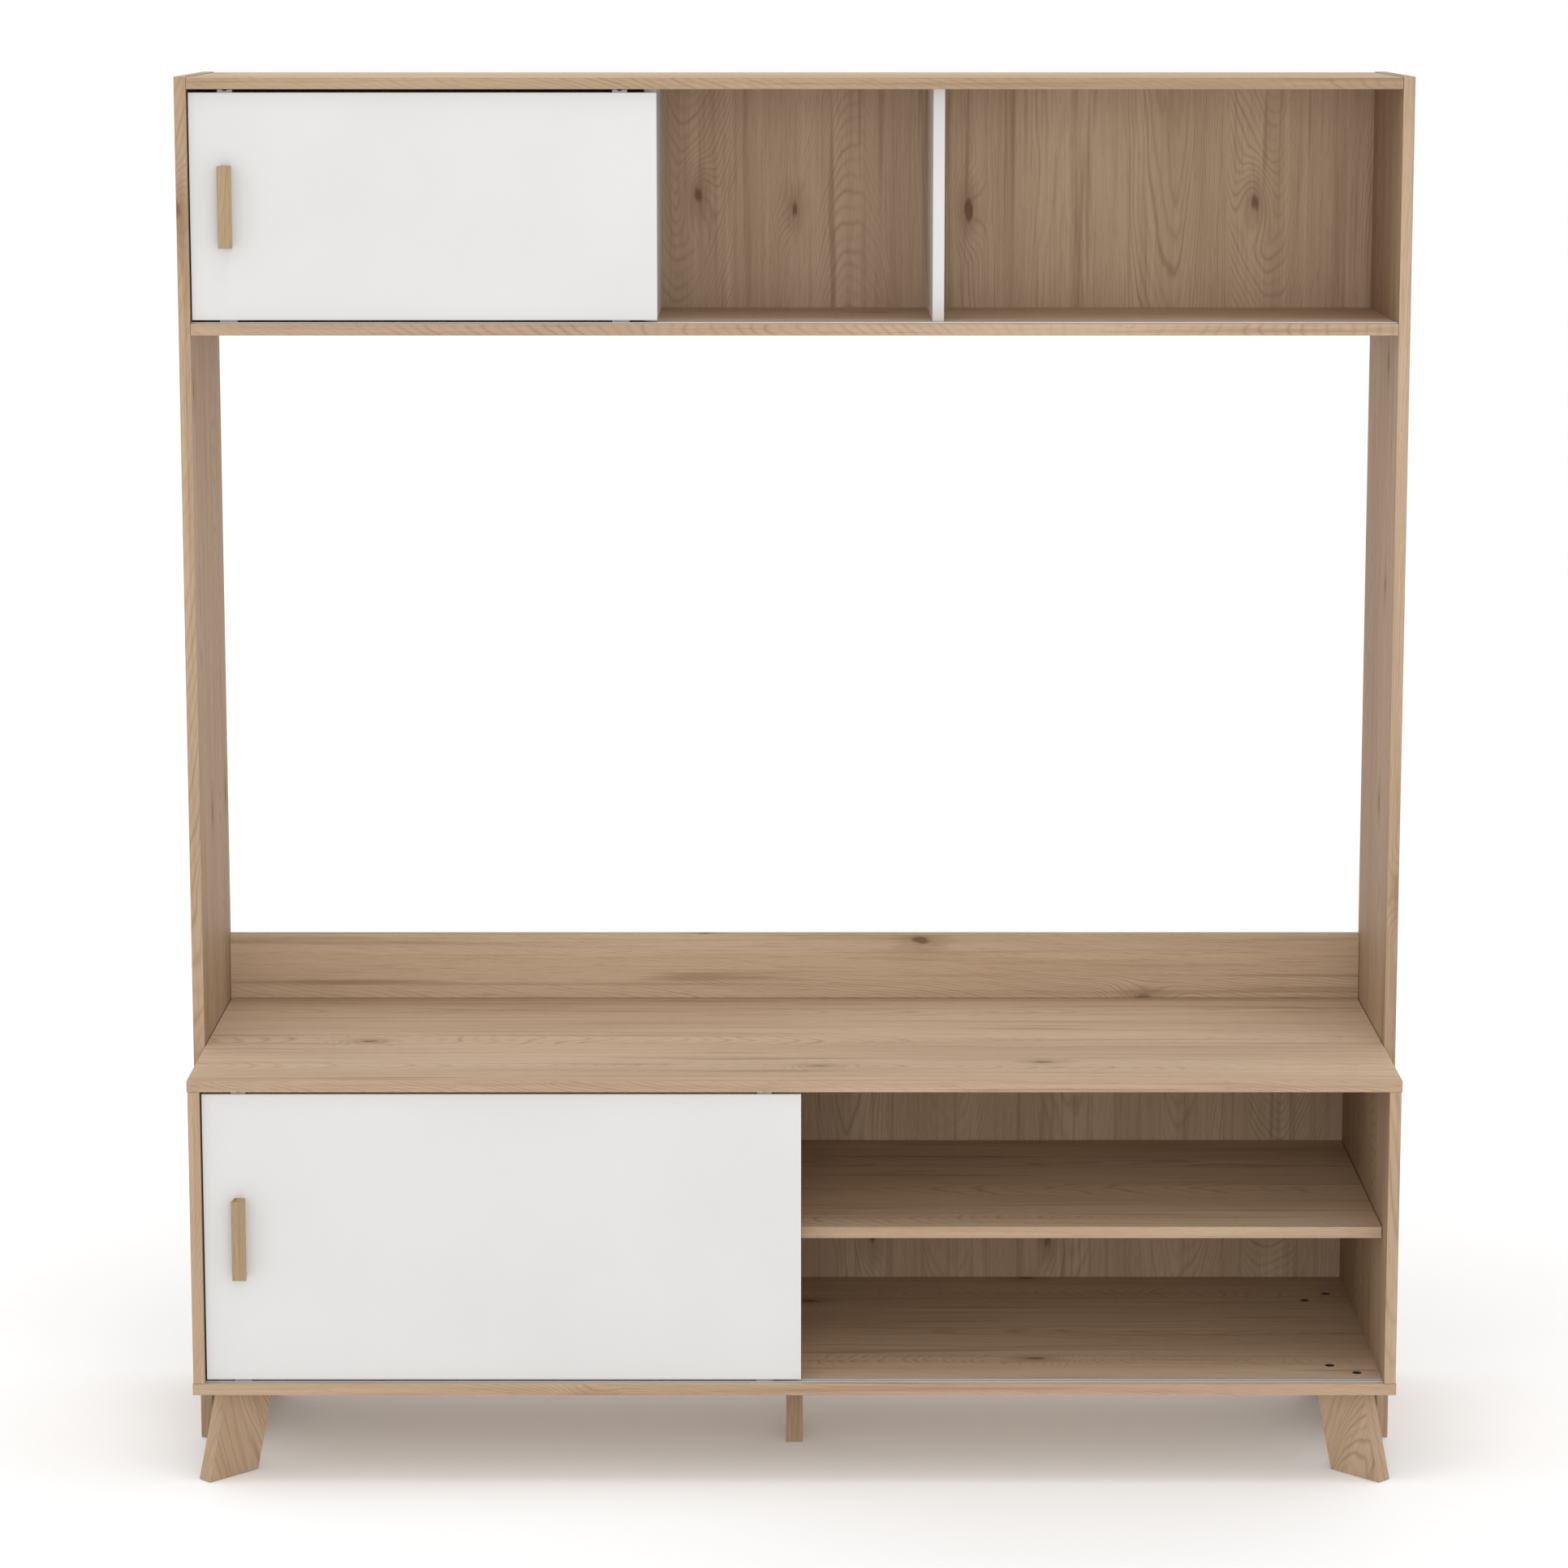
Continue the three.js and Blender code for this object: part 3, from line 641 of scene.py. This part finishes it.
def stubs(places, radius, start, end, name):
    """One piece made of a short rod at each place, from start to end in depth."""
    rods = [rod(radius, (x, start, z), (x, end, z), sides=NAIL_SIDES) for x, z in places]
    take(rods[0])
    for one in rods:
        one.select_set(True)
    bpy.ops.object.join()
    piece = bpy.context.object
    piece.name = piece.data.name = name
    return piece


def back_panel(node, inner_boards):
    """A thin back: decor in front, raw behind, nailed all round and at the inner boards."""
    low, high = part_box(node)
    piece = block(low, high, node + "_panel")
    round_edges(piece, THIN_EDGE, 1)
    lay_grain(piece, Z)
    paint(piece, WALNUT, HARDBOARD, choose=lambda face: int(face.normal.y > SQUARE_ON))
    fit_in(piece, "cabinet", "back_board", node)

    places = nail_places(low, high, inner_boards)
    deep = high.y - NAIL_DIMPLE
    heads = stubs(places, NAIL_RADIUS, deep, high.y - NAIL_SUNK, node + "_nails")
    dents = stubs(places, NAIL_RADIUS * DIMPLE_SHARE, deep, high.y + DIMPLE_RISE, "cutter")
    cut(piece, dents)
    paint(heads, ZINC)
    fit_in(heads, "cabinet", "steel")


# ---------------------------------------------------------------- legs and fasteners
LEG_BOARD = 0.022  # thickness
LEG_WIDTH = 0.080
LEG_LEAN = 0.031  # how far the foot stands out past the top
LEG_GRAIN = 31.5  # degrees from the lean to the print, which runs the other way


def leg(node, out, screws):
    """A slanted board. out is the flat direction in which the foot leans."""
    low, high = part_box(node)
    out = Vector((*out, 0)).normalized()
    reach = LEG_LEAN * out
    centre = middle(node)
    clear_selection()
    bpy.ops.mesh.primitive_cube_add(size=1, location=centre - reach / 2)
    piece = bpy.context.object
    piece.scale = (LEG_WIDTH, LEG_BOARD, high.z - low.z)
    piece.rotation_euler.z = math.atan2(out.y, out.x)
    settle(node + "_board")
    select_in_edit(piece, "VERT", lambda v: v.co.z < centre.z)
    bpy.ops.transform.translate(value=reach)
    leave_edit()
    cutters = []
    for screw in screws:
        x, y = middle(screw).xy
        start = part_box(screw)[0].z - SEAT
        cutters.append(rod(SHANK_RADIUS + HOLE_GAP, (x, y, start), (x, y, high.z + BIG)))
    cut(piece, *cutters)
    round_edges(piece, LEG_EDGE)
    lay_grain(piece, (reach - Z * (high.z - low.z)).normalized(), LEG_GRAIN, out)
    paint(piece, SHADED_WALNUT)
    fit_in(piece, "cabinet", "wood_decor", node)


SOCKET_RADIUS = 0.0026
SOCKET_DEPTH = 0.0019
BOLT_TIP = 0.35  # the tip's radius over the shank's


def leg_screw(node):
    """A flat-head furniture bolt with a hexagon socket."""
    low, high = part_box(node)
    x, y = middle(node).xy
    head = (high.x - low.x) / 2
    piece = rod(head, (x, y, high.z - SCREW_HEAD_HEIGHT), (x, y, high.z), node + "_bolt")
    length = high.z - SCREW_HEAD_HEIGHT - low.z
    select_in_edit(piece, "FACE", lambda f: f.normal.z < -SQUARE_ON)
    bpy.ops.mesh.inset(thickness=head - SHANK_RADIUS)
    pull(-Z * (length - SHANK_RADIUS))
    pull(-Z * SHANK_RADIUS)
    squeeze((BOLT_TIP, BOLT_TIP, 1), (x, y, low.z))
    leave_edit()
    cut(piece, rod(SOCKET_RADIUS, (x, y, high.z - SOCKET_DEPTH), (x, y, high.z + BIG), sides=6))
    round_edges(piece, THIN_EDGE)
    paint(piece, BURNISHED)
    fit_in(piece, "cabinet", "steel", node)


CROSS_LONG = 0.0022
CROSS_WIDE = 0.0005
CROSS_DEPTH = 0.0013
SCREW_POINT = 0.2  # the point's radius over the shank's


def handle_screw(node, body):
    """A countersunk screw with a cross recess, driven from behind the door."""
    low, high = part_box(node)
    x, _, z = middle(node)
    head = (high.x - low.x) / 2
    neck = high.y - HANDLE_HEAD_HEIGHT
    piece = rod(head, (x, neck, z), (x, high.y, z), node + "_shank")
    share = HANDLE_SHANK_RADIUS / head
    select_in_edit(piece, "FACE", lambda f: f.normal.y < -SQUARE_ON)
    squeeze((share, 1, share), (x, neck, z))
    pull(-Y * (neck - low.y - HANDLE_SHANK_RADIUS))
    pull(-Y * HANDLE_SHANK_RADIUS)
    squeeze((SCREW_POINT, 1, SCREW_POINT), (x, low.y, z))
    leave_edit()
    deep = high.y - CROSS_DEPTH
    cut(
        piece,
        block((x - CROSS_LONG, deep, z - CROSS_WIDE), (x + CROSS_LONG, high.y + BIG, z + CROSS_WIDE)),
        block((x - CROSS_WIDE, deep, z - CROSS_LONG), (x + CROSS_WIDE, high.y + BIG, z + CROSS_LONG)),
    )
    round_edges(piece, METAL_EDGE, 1)
    paint(piece, ZINC)
    fit_in(piece, body, "steel", node)


GROOVE_HALF = 0.0006
GROOVE_FLOOR = 0.82  # the radius in the groove over the pin's


def shelf_pin(node):
    """A turned steel pin with a groove round its middle and rounded ends."""
    low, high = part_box(node)
    x, y, z = middle(node)
    radius = (high.z - low.z) / 2
    piece = rod(radius, (low.x, y, z), (high.x, y, z), node + "_steel")
    ring = rod(radius * 2, (x - GROOVE_HALF, y, z), (x + GROOVE_HALF, y, z))
    core = rod(radius * GROOVE_FLOOR, (x - GROOVE_HALF * 2, y, z), (x + GROOVE_HALF * 2, y, z))
    cut(piece, cut(ring, core))
    round_edges(piece, SHELF_PIN_EDGE)
    paint(piece, ZINC)
    fit_in(piece, "cabinet", "steel", node)


CAP_RADIUS = 0.0038
CAP_PROUD = 0.0006
# depth and height of each cap
CAP_PLACES = ((0.2095, 0.1985), (0.0133, 0.1978), (0.0128, 0.4532), (-0.1637, 0.166))


def bolt_caps():
    """Small covers over the bolts that hold each end of the bench to its upright."""
    for side, sign in (("left", -1), ("right", 1)):
        low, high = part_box(f"bench_side_{side}")
        face = low.x if sign > 0 else high.x
        outer = face - sign * CAP_PROUD
        for i, (y, z) in enumerate(CAP_PLACES, 1):
            cap = rod(CAP_RADIUS, (outer, y, z), (face, y, z), f"bolt_cap_{side}_{i}", CAP_SIDES)
            round_edges(cap, THIN_EDGE)
            paint(cap, CAP_TAN)
            fit_in(cap, "cabinet", "wood_decor")


# ---------------------------------------------------------------- tracks
def track(node, lower):
    """An aluminium channel sunk in the board. A lower one opens upwards and has flanges that lie
    on the board, and an upper one opens downwards."""
    low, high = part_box(node)
    y = middle(node).y
    slot = TRACK_SLOT / 2
    outer = slot + TRACK_WALL
    name = node + "_profile"
    if lower:
        piece = block((low.x, low.y, high.z - TRACK_WALL), high, name)
        join(piece, block((low.x, y - outer, low.z), (high.x, y + outer, high.z - TRACK_WALL / 2)))
        slot_low, slot_high = low.z + TRACK_WALL, high.z + BIG
    else:
        piece = block(low, high, name)
        slot_low, slot_high = low.z - BIG, high.z - TRACK_WALL
    cut(piece, block((low.x - BIG, y - slot, slot_low), (high.x + BIG, y + slot, slot_high)))
    round_edges(piece, METAL_EDGE)
    paint(piece, ALUMINIUM)
    fit_in(piece, "cabinet", "aluminium", node)


# ---------------------------------------------------------------- doors
def mortise(node, open_up):
    """The pocket in a door's edge for a fitting's block."""
    low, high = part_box(node)
    y = middle(node).y
    half = FITTING_BLOCK / 2 + SEAT
    bottom, top = (low.z - SEAT, high.z + BIG) if open_up else (low.z - BIG, high.z + SEAT)
    return block((low.x - SEAT, y - half, bottom), (high.x + SEAT, y + half, top))


def door_panel(kind):
    """A white door with pockets for its four fittings and holes for the handle's screws."""
    node = f"{kind}_door_panel"
    cutters = []
    for side in ("left", "right"):
        cutters.append(mortise(f"{kind}_roller_housing_{side}", False))
        cutters.append(mortise(f"{kind}_guide_housing_{side}", True))
    for i in (1, 2):
        screw = f"{kind}_handle_screw_{i}"
        low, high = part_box(screw)
        x, _, z = middle(screw)
        shank = HANDLE_SHANK_RADIUS + HOLE_GAP
        head = (high.x - low.x) / 2 + HOLE_GAP
        seat = high.y - HANDLE_HEAD_HEIGHT - SEAT
        cutters.append(rod(shank, (x, low.y - BIG, z), (x, high.y + BIG, z)))
        cutters.append(rod(head, (x, seat, z), (x, high.y + BIG, z)))
    piece = block(*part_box(node), name=node + "_white")
    cut(piece, *cutters)
    round_edges(piece, BOARD_EDGE)
    paint(piece, WHITE)
    fit_in(piece, f"{kind}_door", "white_decor", node)


HANDLE_REAR_SHARE = 0.75  # the handle's rear width over its front width


def handle(kind):
    """A wooden bar that widens towards the front."""
    node = f"{kind}_door_handle"
    low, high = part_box(node)
    piece = block(low, high, node + "_bar")
    select_in_edit(piece, "FACE", lambda f: f.normal.y > SQUARE_ON)
    squeeze((HANDLE_REAR_SHARE, 1, 1), middle(node))
    leave_edit()
    cutters = []
    for i in (1, 2):
        screw = f"{kind}_handle_screw_{i}"
        x, _, z = middle(screw)
        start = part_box(screw)[0].y - SEAT
        cutters.append(rod(HANDLE_SHANK_RADIUS + HOLE_GAP, (x, start, z), (x, high.y + BIG, z)))
    cut(piece, *cutters)
    round_edges(piece, HANDLE_EDGE, 3)
    lay_grain(piece, Z)
    paint(piece, HANDLE_WOOD)
    fit_in(piece, f"{kind}_door", "wood_decor", node)


HOUSING_FLANGE = 0.0022
POCKET_HALF = 0.0021
PANEL_SPACING = 0.28  # between the sunk panels, over the housing's width
PANEL_HALF = 0.0018
PANEL_DEPTH = 0.0008
PANEL_FOOT = 0.002  # from the wheel's top to a panel's foot
PANEL_TOP = 0.0015  # from a panel's top to the housing's
AXLE_SHARE = 0.6  # the axle's length over the block's thickness


def roller_housing(kind, side):
    """A moulded block with a foot plate, a pocket for the wheel, its axle, and three sunk panels
    in the front and the back."""
    node = f"{kind}_roller_housing_{side}"
    wheel_low, wheel_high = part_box(f"{kind}_roller_wheel_{side}")
    low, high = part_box(node)
    x, y = middle(node).xy
    half = FITTING_BLOCK / 2
    foot = low.z + HOUSING_FLANGE
    start = low.z + HOUSING_FLANGE / 2
    piece = block((low.x, y - half, start), (high.x, y + half, high.z), node + "_shell")
    join(piece, block((low.x, low.y, low.z), (high.x, high.y, foot)))
    pocket_low = (wheel_low.x - SEAT, y - POCKET_HALF, low.z - BIG)
    pocket_high = (wheel_high.x + SEAT, y + POCKET_HALF, wheel_high.z + SEAT)
    cut(piece, block(pocket_low, pocket_high))
    bottom, top = wheel_high.z + PANEL_FOOT, high.z - PANEL_TOP
    for i in (-1, 0, 1):
        at = x + i * (high.x - low.x) * PANEL_SPACING
        left, right = at - PANEL_HALF, at + PANEL_HALF
        cut(
            piece,
            block((left, y - half - BIG, bottom), (right, y - half + PANEL_DEPTH, top)),
            block((left, y + half - PANEL_DEPTH, bottom), (right, y + half + BIG, top)),
        )
    reach = half * AXLE_SHARE
    axle = middle(f"{kind}_roller_wheel_{side}").z
    join(piece, rod(AXLE_RADIUS, (x, y - reach, axle), (x, y + reach, axle)))
    round_edges(piece, METAL_EDGE)
    paint(piece, GREY)
    fit_in(piece, f"{kind}_door", "grey_plastic", node)


GUIDE_FLANGE = 0.0034
NOTCH_RADIUS = 0.0045
NOTCH_DEPTH = 0.0019
PIN_WELL = 0.0054  # room under the pin, for when it is pressed


def guide_housing(kind, side):
    """A moulded block with a collar that shows above the door, notched for a fingernail."""
    node = f"{kind}_guide_housing_{side}"
    pin_low, pin_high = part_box(f"{kind}_guide_pin_{side}")
    low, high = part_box(node)
    x, y = middle(node).xy
    half = FITTING_BLOCK / 2
    piece = block((low.x, y - half, low.z), (high.x, y + half, high.z), node + "_shell")
    join(piece, block((low.x, low.y, high.z - GUIDE_FLANGE), high))
    slot = PIN_SLOT / 2
    gap = slot - (pin_high.y - pin_low.y) / 2
    well_low = (pin_low.x - gap, y - slot, pin_low.z - PIN_WELL)
    well_high = (pin_high.x + gap, y + slot, high.z + BIG)
    notch = high.z + NOTCH_RADIUS - NOTCH_DEPTH
    cut(
        piece,
        block(well_low, well_high),
        rod(NOTCH_RADIUS, (x, low.y - BIG, notch), (x, pin_low.y, notch)),
    )
    round_edges(piece, METAL_EDGE)
    paint(piece, GREY)
    fit_in(piece, f"{kind}_door", "grey_plastic", node)


RIM = 0.0016
WEB_RECESS = 0.0007  # from the rim's face to the web's
HUB_RADIUS = 0.0034
BORE_RADIUS = 0.00175


def roller_wheel(kind, side):
    """A moulded wheel: a rounded rim, a thinner web and, in front, a hub round the axle."""
    node = f"{kind}_roller_wheel_{side}"
    low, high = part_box(node)
    x, y, z = middle(node)
    radius = (high.z - low.z) / 2
    piece = rod(radius, (x, low.y, z), (x, high.y, z), node + "_turned", WHEEL_SIDES)
    front = rod(radius - RIM, (x, low.y - BIG, z), (x, low.y + WEB_RECESS, z))
    cut(front, rod(HUB_RADIUS, (x, low.y - BIG * 2, z), (x, low.y + BIG, z)))
    rear = rod(radius - RIM, (x, high.y + BIG, z), (x, high.y - WEB_RECESS, z))
    cut(piece, front, rear, rod(BORE_RADIUS, (x, low.y - BIG, z), (x, high.y + BIG, z)))
    round_edges(piece, METAL_EDGE)
    paint(piece, BLACK)
    fit_in(piece, f"{kind}_wheel_{side}", "black_plastic", node)


CATCH_HALF = 0.003
CATCH_DEPTH = 0.0006
CATCH_HEIGHT = 0.0008
HEAD_SHARE = (0.86, 0.8, 1)  # the head's size over the tongue's


def guide_pin(kind, side):
    """A flat sprung tongue with a narrower head and a catch for a fingernail."""
    node = f"{kind}_guide_pin_{side}"
    low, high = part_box(node)
    x, y = middle(node).xy
    piece = block(low, high, node + "_tongue")
    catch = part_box(f"{kind}_guide_housing_{side}")[1].z - NOTCH_DEPTH
    catch_low = (x - CATCH_HALF, low.y - BIG, catch)
    catch_high = (x + CATCH_HALF, low.y + CATCH_DEPTH, catch + CATCH_HEIGHT)
    cut(piece, block(catch_low, catch_high))
    select_in_edit(piece, "FACE", lambda f: f.normal.z > SQUARE_ON)
    squeeze(HEAD_SHARE, (x, y, high.z))
    leave_edit()
    round_edges(piece, THIN_EDGE)
    paint(piece, BLACK)
    fit_in(piece, f"{kind}_pin_{side}", "black_plastic", node)


def sliding_door(kind):
    """A door with its handle, two rollers below and two sprung guides above."""
    door_panel(kind)
    handle(kind)
    for i in (1, 2):
        handle_screw(f"{kind}_handle_screw_{i}", f"{kind}_door")
    for side in ("left", "right"):
        roller_housing(kind, side)
        roller_wheel(kind, side)
        guide_housing(kind, side)
        guide_pin(kind, side)


# ---------------------------------------------------------------- studio
CAMERA_HEIGHT = 1.938
CAMERA_DISTANCE = 5.762  # in front of the bench's front edge
CAMERA_PITCH = 9.02
CAMERA_LENS = 106.1
CAMERA_SHIFT = (-0.0067, -0.05)
SENSOR = 36.0
VIEW_END = 200  # how far the camera sees
LIGHTS = (  # name, place, width, power
    ("top_light", (-0.2, -0.9, 4.6), 1.0, 18),
    ("front_light", (0.3, -4.6, 1.7), 2.2, 36),
)
LIGHTS_AIM = (0, 0, 0.5)
FLOOR_SIZE = 80
FLOOR_DROP = 0.0005  # below the feet
FLOOR_GLOW = 0.07


def studio():
    """A camera in front, soft light from all round, and a pale floor."""
    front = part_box("bench_top")[0].y
    data = bpy.data.cameras.new("camera")
    data.lens, data.sensor_width = CAMERA_LENS, SENSOR
    data.shift_x, data.shift_y = CAMERA_SHIFT
    data.clip_end = VIEW_END
    camera = bpy.data.objects.new("camera", data)
    camera.location = (0, front - CAMERA_DISTANCE, CAMERA_HEIGHT)
    camera.rotation_euler = (math.radians(90 - CAMERA_PITCH), 0, 0)
    bpy.context.scene.collection.objects.link(camera)
    bpy.context.scene.camera = camera

    world = bpy.data.worlds.new("studio")
    bpy.context.scene.world = world
    world.use_nodes = True
    background = world.node_tree.nodes["Background"]
    background.inputs["Color"].default_value = (1, 1, 1, 1)
    background.inputs["Strength"].default_value = 1.0
    for name, place, size, power in LIGHTS:
        lamp = bpy.data.lights.new(name, "AREA")
        lamp.energy, lamp.size = power, size
        light = bpy.data.objects.new(name, lamp)
        light.location = place
        direction = Vector(LIGHTS_AIM) - Vector(place)
        light.rotation_euler = direction.to_track_quat("-Z", "Y").to_euler()
        bpy.context.scene.collection.objects.link(light)

    clear_selection()
    bpy.ops.mesh.primitive_plane_add(size=FLOOR_SIZE, location=(0, 0, -FLOOR_DROP))
    floor = settle("floor")
    pale = Finish("studio_floor", Roughness=0.9, Specular_IOR_Level=0.1)
    pale.shader.inputs["Emission Color"].default_value = (1, 1, 1, 1)
    pale.shader.inputs["Emission Strength"].default_value = FLOOR_GLOW
    drift = pale.noise(pale.place(), scale=0.8, detail=2.0)
    pale.colour(pale.blend(drift, (0.93, 0.93, 0.93), (0.95, 0.95, 0.95)))
    paint(floor, pale.material)
    bpy.context.scene.view_settings.view_transform = "Standard"


# ---------------------------------------------------------------- the whole stand
boards()
back_panel("bench_back", [middle("bench_divider").x])
back_panel("hutch_back", [middle(f"hutch_divider_{side}").x for side in ("left", "right")])
for leg_name in LEGS:
    corner_way = middle(leg_name) - middle("bench_bottom")
    lean = (math.copysign(1, corner_way.x), math.copysign(1, corner_way.y))
    leg(leg_name, lean, [f"{leg_name}_screw_{i}" for i in (1, 2)])
leg("leg_middle", (0, -1), [])
for screw_name in LEG_SCREWS:
    leg_screw(screw_name)
for pin_name in PINS:
    shelf_pin(pin_name)
bolt_caps()
for unit in ("bench", "hutch"):
    track(f"{unit}_track_bottom", True)
    track(f"{unit}_track_top", False)
    sliding_door(unit)
studio()
